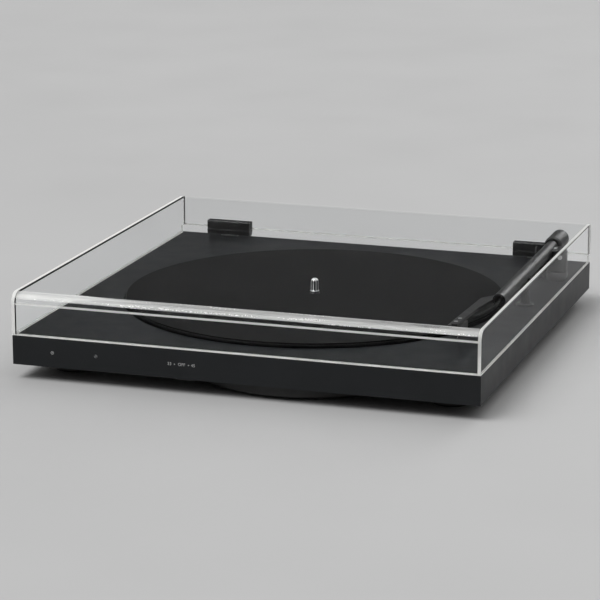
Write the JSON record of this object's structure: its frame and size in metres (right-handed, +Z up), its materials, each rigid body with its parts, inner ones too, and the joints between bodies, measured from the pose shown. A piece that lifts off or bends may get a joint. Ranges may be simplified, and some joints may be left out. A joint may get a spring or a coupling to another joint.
{
  "type": "turntable",
  "caption": "Slim belt-driven record player with a clear hinged lid, a straight tonearm and underside controls.",
  "frame": {"origin": "on the table under the middle of the plinth", "axes": "+Z up, +X to the right, +Y to the back, where the sockets and the lid's hinges are"},
  "size_m": [0.365, 0.366, 0.0673],
  "materials": {
    "plinth_satin": "satin",
    "under_plastic": "matte",
    "foot_rubber": "matte",
    "platter_metal": "satin",
    "felt": "matte",
    "bright_steel": "polished",
    "clear_acrylic": "gloss",
    "hinge_plastic": "satin",
    "arm_black": "satin",
    "arm_grey": "satin",
    "cartridge_plastic": "gloss",
    "steel": "satin",
    "brass": "satin",
    "belt_rubber": "matte",
    "board": "satin",
    "lens": "gloss"
  },
  "bodies": {
    "plinth": {"plinth_shell": "plinth_satin", "bottom_cover": "under_plastic", "feet": "under_plastic", "foot_pads": "foot_rubber", "foot_screws": "steel", "cover_screws": "steel", "bearing_cup": "brass", "thrust_ball": "steel", "motor_can": "steel", "motor_plate": "steel", "motor_screws": "steel", "drive_belt": "belt_rubber", "hinge_brackets": "steel", "hinge_pins": "steel", "hinge_screws": "steel", "arm_base": "arm_grey", "arm_races": "steel", "deck_nuts": "steel", "arm_rest_post": "arm_black", "arm_rest_hook": "arm_black", "lift_column": "arm_black", "front_board": "board", "board_screws": "steel", "lamp_lens": "lens", "speed_switch": "under_plastic", "main_board": "board", "audio_sockets": "brass", "earth_post": "steel", "earth_nut": "steel", "power_inlet": "under_plastic", "socket_panel": "under_plastic"},
    "platter": {"platter": "platter_metal", "felt_mat": "felt", "spindle": "bright_steel"},
    "motor_rotor": {"motor_shaft": "steel", "motor_pulley": "brass"},
    "lid": {"lid_sheet": "clear_acrylic", "lid_side_left": "clear_acrylic", "lid_side_right": "clear_acrylic", "hinge_block_left": "hinge_plastic", "hinge_block_right": "hinge_plastic"},
    "arm_pillar": {"arm_post": "arm_black", "arm_shaft": "steel", "arm_set_screw": "steel", "tilt_race": "steel", "tilt_pin": "steel"},
    "arm": {"arm_tube": "arm_black", "arm_stub": "steel", "headshell": "arm_black", "cartridge_body": "cartridge_plastic", "cartridge_screws": "steel", "stylus_holder": "cartridge_plastic", "cantilever": "steel", "cartridge_leads": "belt_rubber"},
    "weight": {"counterweight": "arm_black", "weight_screw": "steel"},
    "lift": {"lift_platform": "arm_black"},
    "cue_lever": {"cue_lever": "arm_black"},
    "speed_lever": {"speed_lever": "under_plastic"},
    "pair_button": {"pair_button": "under_plastic"}
  },
  "joints": [
    {"name": "platter_spin", "type": "hinge", "parent": "plinth", "child": "platter", "pos_m": [0, -0.004, 0.036], "axis": [0, 0, -1], "continuous": true},
    {"name": "pulley_spin", "type": "hinge", "parent": "plinth", "child": "motor_rotor", "pos_m": [-0.045, -0.085, 0.027], "axis": [0, 0, -1], "continuous": true},
    {"name": "lid_hinge", "type": "hinge", "parent": "plinth", "child": "lid", "pos_m": [0, 0.1793, 0.0387], "axis": [-1, 0, 0], "range_deg": [0, 75]},
    {"name": "arm_swing", "type": "hinge", "parent": "plinth", "child": "arm_pillar", "pos_m": [0.1685, 0.1152, 0.0411], "axis": [0, 0, 1], "range_deg": [-12, 0]},
    {"name": "arm_tilt", "type": "hinge", "parent": "arm_pillar", "child": "arm", "pos_m": [0.1685, 0.1152, 0.0565], "axis": [-1, 0, 0], "range_deg": [0, 1.5]},
    {"name": "weight_slide", "type": "slide", "parent": "arm", "child": "weight", "axis": [0, 0.9999, 0.0113], "range_m": [-0.0015, 0.0015]},
    {"name": "cue_lever_turn", "type": "hinge", "parent": "plinth", "child": "cue_lever", "pos_m": [0.1493, 0.121, 0.0421], "axis": [1, 0, 0], "range_deg": [0, 55]},
    {"name": "lift_rise", "type": "slide", "parent": "plinth", "child": "lift", "axis": [0, 0, 1], "range_m": [0, 0.0005]},
    {"name": "speed_slide", "type": "slide", "parent": "plinth", "child": "speed_lever", "axis": [1, 0, 0], "range_m": [-0.005, 0.005]},
    {"name": "pair_press", "type": "slide", "parent": "plinth", "child": "pair_button", "axis": [0, 0, 1], "range_m": [0, 0.0012], "stiffness_N_per_m": 400, "springref_m": -0.0005}
  ],
  "couplings": [
    {"joint": "pulley_spin", "follows": "platter_spin", "ratio": 11.992},
    {"joint": "cue_lever_turn", "follows": "arm_tilt", "ratio": 36.667},
    {"joint": "lift_rise", "follows": "arm_tilt", "m_per_rad": 0.018204}
  ]
}
